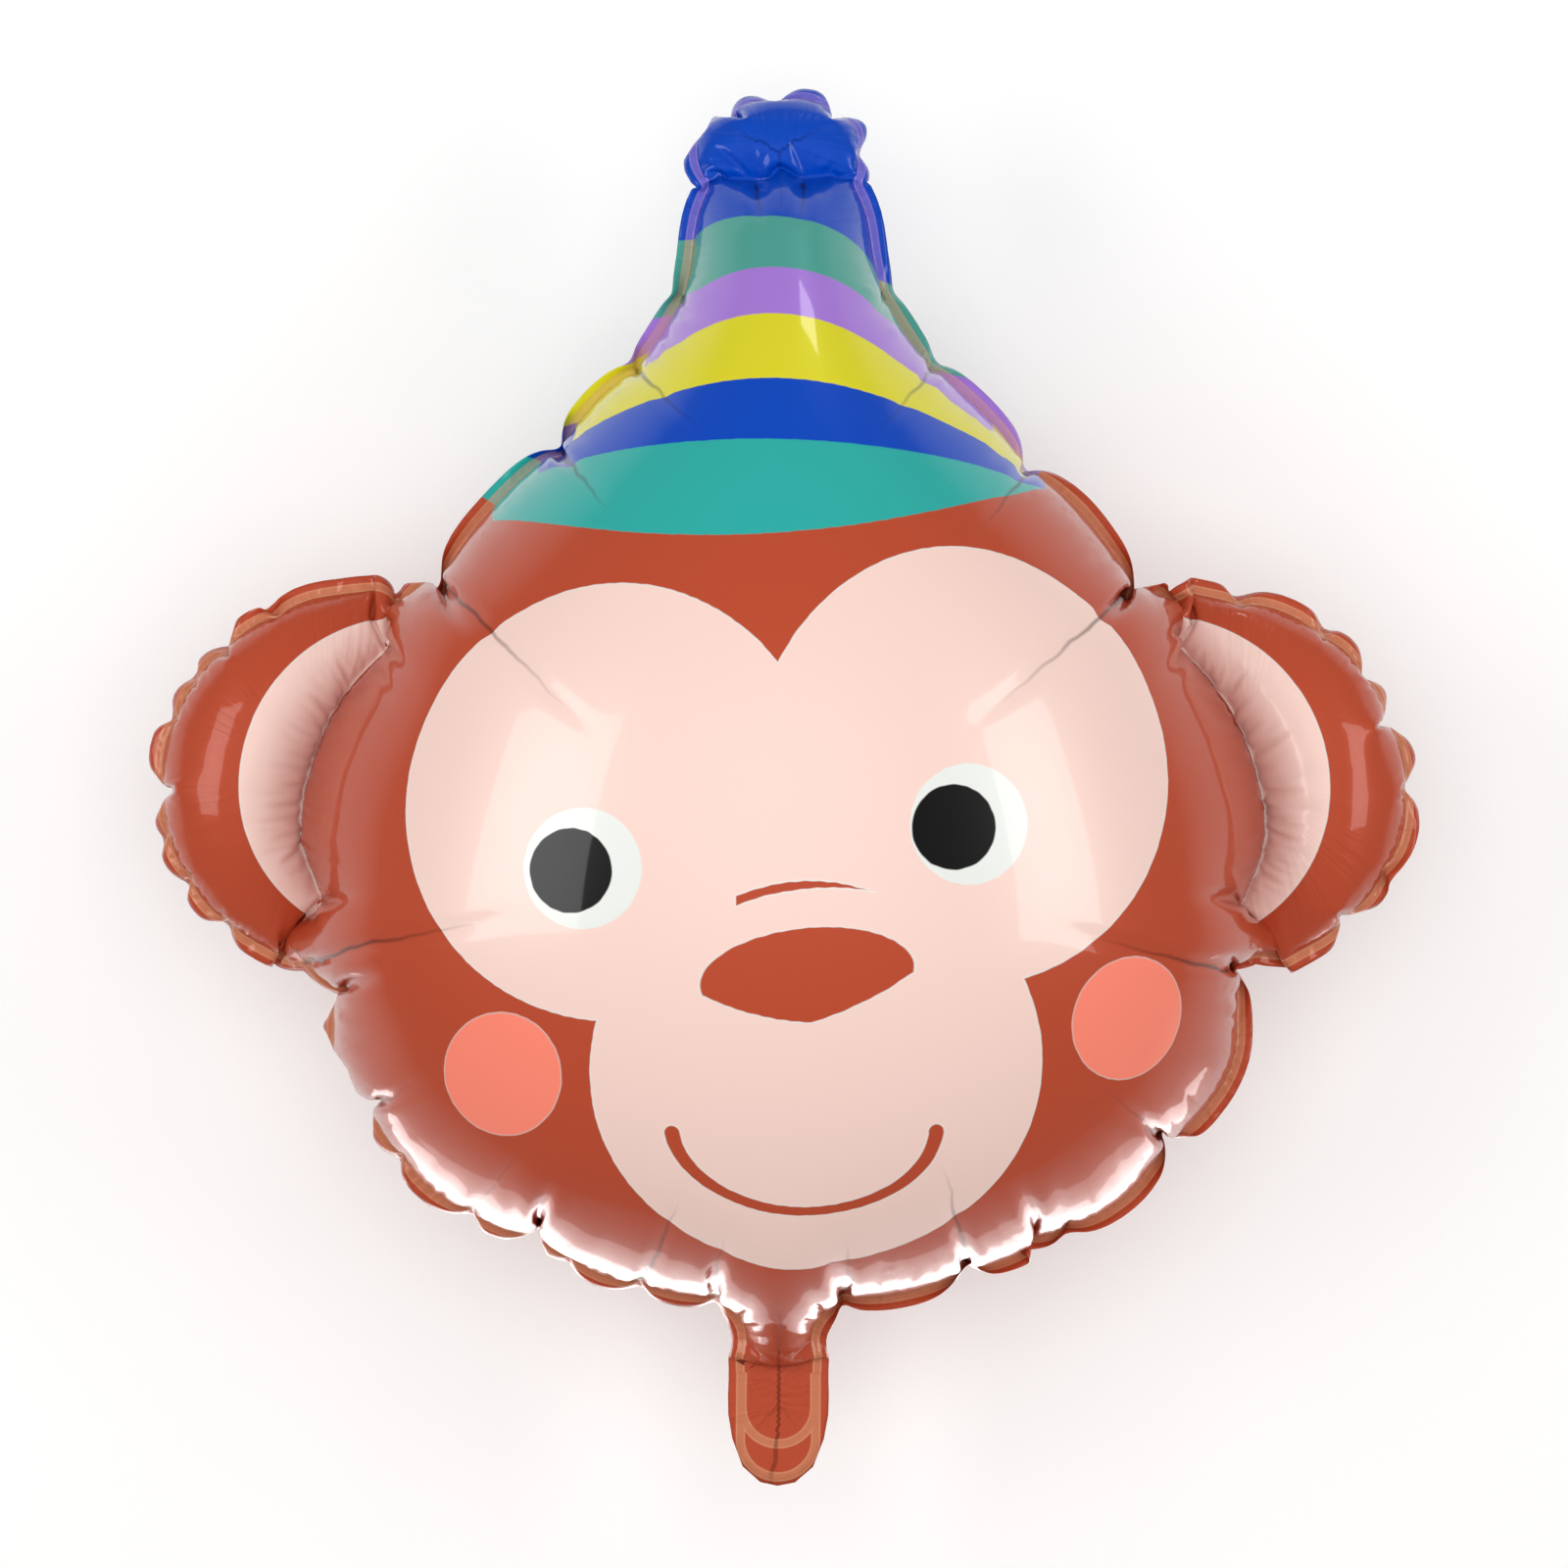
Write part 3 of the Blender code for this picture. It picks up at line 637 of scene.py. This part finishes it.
def film_relief(tree, cut, y, seam, pressed, channel):
    """Height in mm: drawn lines, wrinkles in patches, the crumpled channel and the sunk weld band."""
    streaks = add(tree, "ShaderNodeMapping", {"Vector": cut, "Scale": DRAWN_LINES}).outputs[0]
    drawn = add(tree, "ShaderNodeTexNoise", {"Vector": streaks, "Scale": 1.0, "Detail": 2.0}).outputs[0]
    travelled = add(tree, "ShaderNodeAttribute", attribute_name="along_weld").outputs["Fac"]
    inwards = add(tree, "ShaderNodeCombineXYZ", {0: travelled, 1: seam}).outputs[0]
    inwards = add(tree, "ShaderNodeMapping", {"Vector": inwards, "Scale": WRINKLES}).outputs[0]
    wrinkles = add(tree, "ShaderNodeTexNoise", {"Vector": inwards, "Scale": 1.0, "Detail": 1.5}).outputs[0]
    patches = add(tree, "ShaderNodeTexNoise", {"Vector": cut, "Scale": WRINKLE_PATCHES, "Detail": 0.0}).outputs[0]
    patches = add(tree, "ShaderNodeMapRange", {
        "Value": patches, "From Min": 0.4, "From Max": 0.6, "To Min": 0.25, "To Max": 1.0,
    }).outputs[0]
    reach = add(tree, "ShaderNodeMapRange", {
        "Value": seam, "From Min": 0.0, "From Max": WRINKLE_REACH, "To Min": WRINKLE_DEPTH, "To Max": 0.0,
    }).outputs[0]
    crumple = add(tree, "ShaderNodeTexNoise", {
        "Vector": cut, "Scale": CRUMPLE_GRAIN, "Detail": 3.0, "Roughness": 0.6,
    }).outputs[0]
    in_channel = add(tree, "ShaderNodeMapRange", {
        "Value": channel, "From Min": -2.0, "From Max": 0.0, "To Min": CRUMPLE_DEPTH, "To Max": 0.0,
    }).outputs[0]
    below, above = (
        add(tree, "ShaderNodeMapRange", {"Value": y, "From Min": start, "From Max": full}).outputs[0]
        for start, full in (CRUMPLE_TOP, CRUMPLE_END)
    )
    sunk = add(tree, "ShaderNodeMapRange", {
        "Value": pressed, "From Min": -0.2, "From Max": 0.2, "To Min": -BAND_SUNK, "To Max": 0.0,
    }).outputs[0]
    layers = [(drawn, DRAWN_DEPTH), (wrinkles, patches, reach), (crumple, in_channel, below, above), (sunk,)]
    relief = 0.0
    for layer in layers:
        height = layer[0]
        for factor in layer[1:]:
            height = add(tree, "ShaderNodeMath", {0: height, 1: factor}, operation="MULTIPLY").outputs[0]
        relief = add(tree, "ShaderNodeMath", {0: relief, 1: height}, operation="ADD").outputs[0]
    return relief


def film_material(name, with_face):
    """Printed metallised polyester film: flat satin inks on the film's reverse give an even, deep
    colour, and the clear face over them mirrors the lights sharply, like a thin coat of varnish."""
    material = bpy.data.materials.new(name)
    material.use_nodes = True
    tree = material.node_tree
    shader = tree.nodes["Principled BSDF"]
    place = add(tree, "ShaderNodeAttribute", attribute_name="flat_cut").outputs["Vector"]
    x, y, seam = add(tree, "ShaderNodeSeparateXYZ", {0: place}).outputs
    cut = add(tree, "ShaderNodeVectorMath", {0: place, 1: (1, 1, 0)}, operation="MULTIPLY").outputs[0]
    colour, hat = hat_print(tree, x, y, seam)
    if with_face:
        colour = face_print(tree, colour, cut, x, y)
    tint = inked(tree, linear(WELD_ON_BROWN), hat, WELD_ON_BLUE)
    colour, pressed, channel = weld_marks(tree, colour, tint, x, y, seam)
    # the base colour carries painted shade along the creases
    tree.links.new(painted_crease_shade(tree, colour, cut), shader.inputs["Base Color"])
    relief = film_relief(tree, cut, y, seam, pressed, channel)
    bump = add(tree, "ShaderNodeBump", {"Height": relief, "Distance": MM, "Strength": 1.0})
    tree.links.new(bump.outputs[0], shader.inputs["Normal"])
    shader.inputs["Metallic"].default_value = 0.05
    shader.inputs["Roughness"].default_value = 0.3
    shader.inputs["Specular IOR Level"].default_value = 0.15
    shader.inputs["Coat Weight"].default_value = 0.6
    shader.inputs["Coat IOR"].default_value = 1.42
    shader.inputs["Coat Roughness"].default_value = 0.04
    return material


def folded_in(points):
    """How deep the long creases are at points of the flat cut, all in mm, with a lip each side."""
    depth = np.zeros(len(points))
    for start, end, deep in LONG_CREASES:
        run = np.subtract(end, start)
        length = np.linalg.norm(run)
        share = (points - start) @ run / length ** 2
        aside = (np.cross(run, points - start) / length / GROOVE_WIDTH) ** 2
        fade = np.clip(share / 0.1, 0, 1) * np.clip(1 - share, 0, 1)
        depth += deep * GROOVE_DEPTH * fade * (1 - aside) * np.exp(-aside)
    return depth


def sheet_piece(name, place, triangles):
    """One sheet of the filled balloon, with its cut edge turned in to meet the other sheet."""
    a, b, c = place[triangles].transpose(1, 0, 2)
    turned = np.cross(b - a, c - a)
    normal = np.zeros_like(place)
    for corner in range(3):
        np.add.at(normal, triangles[:, corner], turned)
    normal /= np.linalg.norm(normal, axis=1)[:, None] + 1e-12
    skin = place + normal * (HALF_FILM - folded_in(flat / MM)[:, None] * MM) + (0, 0, SEAM_HEIGHT)
    skin[:, 2] = np.maximum(skin[:, 2], FLOOR_CLEARANCE)
    used, count = np.unique(sides_of(triangles), axis=0, return_counts=True)
    rim = used[count == 1]
    on_rim = np.unique(rim)
    middle = place[on_rim] + (0, 0, SEAM_HEIGHT)
    turned_in = np.full(len(place), -1)
    turned_in[on_rim] = len(place) + np.arange(len(on_rim))
    directed = np.concatenate([triangles[:, [0, 1]], triangles[:, [1, 2]], triangles[:, [2, 0]]]).tolist()
    key = {tuple(side) for side in rim.tolist()}
    strip = [(b, a, turned_in[a], turned_in[b]) for a, b in directed if (min(a, b), max(a, b)) in key]
    mesh = bpy.data.meshes.new(name)
    mesh.from_pydata(np.vstack([skin, middle]).tolist(), [], triangles.tolist() + strip)
    cut = np.vstack([on_cut, on_cut[on_rim]]).astype(np.float32)
    travelled = np.concatenate([along_weld, along_weld[on_rim]]).astype(np.float32)
    mesh.attributes.new("flat_cut", "FLOAT_VECTOR", "POINT").data.foreach_set("vector", cut.ravel())
    mesh.attributes.new("along_weld", "FLOAT", "POINT").data.foreach_set("value", travelled)
    mesh.shade_smooth()
    piece = bpy.data.objects.new(name, mesh)
    bpy.context.scene.collection.objects.link(piece)
    return piece


# each point's place on the cut, its distance from the weld, and how far round the weld it is
weld = weld_loop(BLANKS[-1][0] * MM / 2)[0]
from_weld, along_weld = clearance(flat, weld, True)
from_weld[~inside(flat, weld)] *= -1
on_cut, along_weld = np.column_stack([flat, from_weld]) / MM, along_weld / MM
centred = np.append((front[:, :2].min(0) + front[:, :2].max(0)) / 2, 0)
front, back = front - centred, back - centred

front_sheet = sheet_piece("front_sheet", front, triangles)
front_sheet.data.materials.append(film_material("printed_film_front", True))
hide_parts("front_foil")
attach(front_sheet, "root")


# The back sheet. The same film, printed with the plain back of the head, the ears and the hat.
# It is pressed flat where the balloon rests on it.
back_sheet = sheet_piece("back_sheet", back, triangles[:, ::-1])
back_sheet.data.materials.append(film_material("printed_film_back", False))
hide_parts("back_foil")
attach(back_sheet, "root")


# Floor, lights and camera. The balloon lies on a white table and is seen from straight above, with
# a large soft light at each side and overhead, a small one beyond the hat, and white panels on the
# table that only the film under the chin mirrors.
FLOOR_REACH = 4
FLOOR_WHITE, FLOOR_ROUGHNESS, FLOOR_GLOW = "#E8E8E8", 0.8, 0.3
SKY_COLOUR, SKY_STRENGTH = (1.0, 0.98, 0.95, 1), 0.25
# how wide a view the camera takes in at the height of the weld, in m
FRAME_WIDTH = 0.64
CAMERA_LENS, CAMERA_SENSOR = 100, 36

corners = [(x * FLOOR_REACH, y * FLOOR_REACH, 0) for x, y in ((-1, -1), (1, -1), (1, 1), (-1, 1))]
floor_mesh = bpy.data.meshes.new("floor")
floor_mesh.from_pydata(corners, [], [(0, 1, 2, 3)])
floor_object = bpy.data.objects.new("floor", floor_mesh)
bpy.context.scene.collection.objects.link(floor_object)
# matt white laminate, lit up a little so that it is as white as the photographed one
table = bpy.data.materials.new("white_laminate")
table.use_nodes = True
surface = table.node_tree.nodes["Principled BSDF"].inputs
surface["Base Color"].default_value = linear(FLOOR_WHITE)
surface["Roughness"].default_value = FLOOR_ROUGHNESS
surface["Emission Color"].default_value = linear(FLOOR_WHITE)
surface["Emission Strength"].default_value = FLOOR_GLOW
floor_mesh.materials.append(table)

bpy.context.scene.view_settings.view_transform = "Standard"
sky = bpy.data.worlds.new("studio")
sky.use_nodes = True
sky.node_tree.nodes["Background"].inputs["Color"].default_value = SKY_COLOUR
sky.node_tree.nodes["Background"].inputs["Strength"].default_value = SKY_STRENGTH
bpy.context.scene.world = sky

# name, place, what it faces, size in m, power in W, and whether the film mirrors it and is lit by it
LAMPS = [
    ("left_softbox", (-1.1, 0.12, 1.25), (0, 0, 0.1), (0.95, 0.68), 7.5, True, True),
    ("right_softbox", (1.2, 0.12, 1.2), (0, 0, 0.1), (1.05, 0.5), 6.5, True, True),
    ("pompom_light", (0.5, 1.9, 0.62), (0, 0.25, 0.1), (0.3, 0.2), 1.6, True, True),
    ("panel_under_the_chin", (0.03, -0.28, 0.003), (0.03, -0.28, 1), (0.7, 0.12), 1.0, True, False),
    ("panel_beyond_the_chin", (0.03, -0.42, 0.003), (0.03, -0.42, 1), (0.8, 0.16), 0.6, True, False),
    ("overhead_fill", (0, 0.1, 2.3), (0, 0, 0.1), (1.6, 1.6), 25.0, False, True),
]
for name, spot, facing, size, power, mirrored, lighting in LAMPS:
    light = bpy.data.lights.new(name, "AREA")
    light.shape, light.size, light.size_y, light.energy = "RECTANGLE", *size, power
    lamp = bpy.data.objects.new(name, light)
    lamp.location = spot
    lamp.rotation_euler = (Vector(facing) - Vector(spot)).to_track_quat("-Z", "Y").to_euler()
    lamp.visible_glossy, lamp.visible_diffuse, lamp.visible_camera = mirrored, lighting, False
    bpy.context.scene.collection.objects.link(lamp)

camera = bpy.data.cameras.new("camera")
camera.lens, camera.sensor_width = CAMERA_LENS, CAMERA_SENSOR
camera_object = bpy.data.objects.new("camera", camera)
camera_object.location = (0, 0, SEAM_HEIGHT + FRAME_WIDTH * CAMERA_LENS / CAMERA_SENSOR)
bpy.context.scene.collection.objects.link(camera_object)
bpy.context.scene.camera = camera_object
